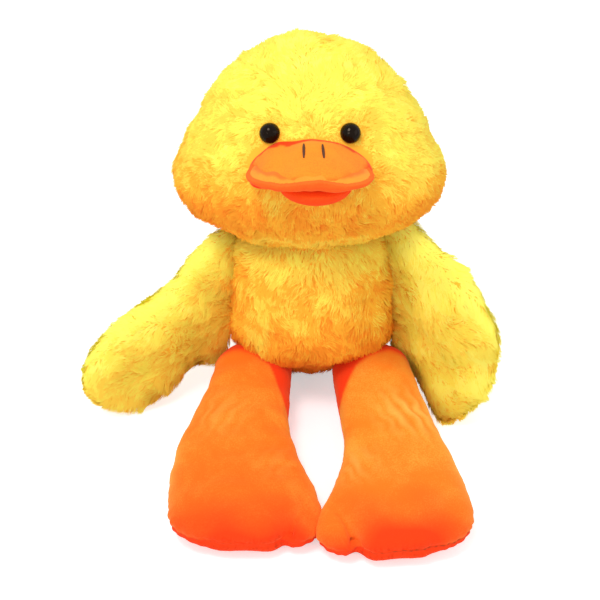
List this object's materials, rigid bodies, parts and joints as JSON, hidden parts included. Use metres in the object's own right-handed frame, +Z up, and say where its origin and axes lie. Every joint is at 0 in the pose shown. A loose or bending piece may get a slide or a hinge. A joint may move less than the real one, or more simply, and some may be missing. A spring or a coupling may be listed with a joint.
{
  "type": "plush duck",
  "caption": "Seated stuffed duck toy in yellow pile fabric with an orange velour bill, webbed feet, glossy eyes, and a turning head, wings and legs.",
  "frame": {"origin": "middle of the seat panel, on the surface that the duck sits on", "axes": "+Z up; the duck faces -Y; its own left is +X"},
  "size_m": [0.2471, 0.2514, 0.2254],
  "materials": {
    "yellow_pile": "long shaggy pile",
    "orange_velour": "short soft nap",
    "deep_orange_velour": "short soft nap",
    "white_fibre": "loose fibre",
    "pellet_bag_cloth": "plain weave",
    "black_eye": "gloss",
    "white_washer": "matte"
  },
  "bodies": {
    "torso": {"torso_front_cover": "yellow_pile", "torso_back_cover": "yellow_pile", "seat_panel": "yellow_pile", "torso_stuffing": "white_fibre", "pellet_bag": "pellet_bag_cloth", "tail_top_panel": "yellow_pile", "tail_under_panel": "yellow_pile", "tail_stuffing": "white_fibre"},
    "neck": {"neck_stuffing": "white_fibre"},
    "head": {"head_front_cover": "yellow_pile", "head_back_cover": "yellow_pile", "head_stuffing": "white_fibre", "eye_left": "black_eye", "eye_right": "black_eye", "eye_washer_left": "white_washer", "eye_washer_right": "white_washer", "bill_top_panel": "orange_velour", "bill_under_panel": "orange_velour", "bill_stuffing": "white_fibre", "lower_bill_top_panel": "deep_orange_velour", "lower_bill_under_panel": "deep_orange_velour", "lower_bill_stuffing": "white_fibre"},
    "wing_left": {"wing_left_front_cover": "yellow_pile", "wing_left_back_cover": "yellow_pile", "wing_left_stuffing": "white_fibre"},
    "wing_right": {"wing_right_front_cover": "yellow_pile", "wing_right_back_cover": "yellow_pile", "wing_right_stuffing": "white_fibre"},
    "leg_left": {"leg_left_upper_panel": "orange_velour", "leg_left_sole_panel": "deep_orange_velour", "leg_left_stuffing": "white_fibre"},
    "leg_right": {"leg_right_upper_panel": "orange_velour", "leg_right_sole_panel": "deep_orange_velour", "leg_right_stuffing": "white_fibre"}
  },
  "joints": [
    {"name": "head_turn", "type": "hinge", "parent": "torso", "child": "neck", "pos_m": [0, -0.028, 0.114], "axis": [0, 0, 1], "range_deg": [-30, 30], "stiffness_Nm_per_rad": 0.5},
    {"name": "head_nod", "type": "hinge", "parent": "neck", "child": "head", "pos_m": [0, -0.028, 0.114], "axis": [1, 0, 0], "range_deg": [-12, 12], "stiffness_Nm_per_rad": 0.5},
    {"name": "wing_left_swing", "type": "hinge", "parent": "torso", "child": "wing_left", "pos_m": [0.05066, -0.027, 0.062], "axis": [-0.1484, 0, 0.9889], "range_deg": [-2, 95], "stiffness_Nm_per_rad": 0.05},
    {"name": "wing_right_swing", "type": "hinge", "parent": "torso", "child": "wing_right", "pos_m": [-0.05066, -0.027, 0.062], "axis": [0.1484, 0, 0.9889], "range_deg": [-79, 18], "stiffness_Nm_per_rad": 0.05},
    {"name": "leg_left_hip", "type": "hinge", "parent": "torso", "child": "leg_left", "pos_m": [0.036, -0.054, 0.0198], "axis": [0.9961, 0.0732, 0.0489], "range_deg": [-6, 85]},
    {"name": "leg_right_hip", "type": "hinge", "parent": "torso", "child": "leg_right", "pos_m": [-0.036, -0.054, 0.0198], "axis": [0.9986, -0.0209, -0.0488], "range_deg": [-6, 85]}
  ]
}
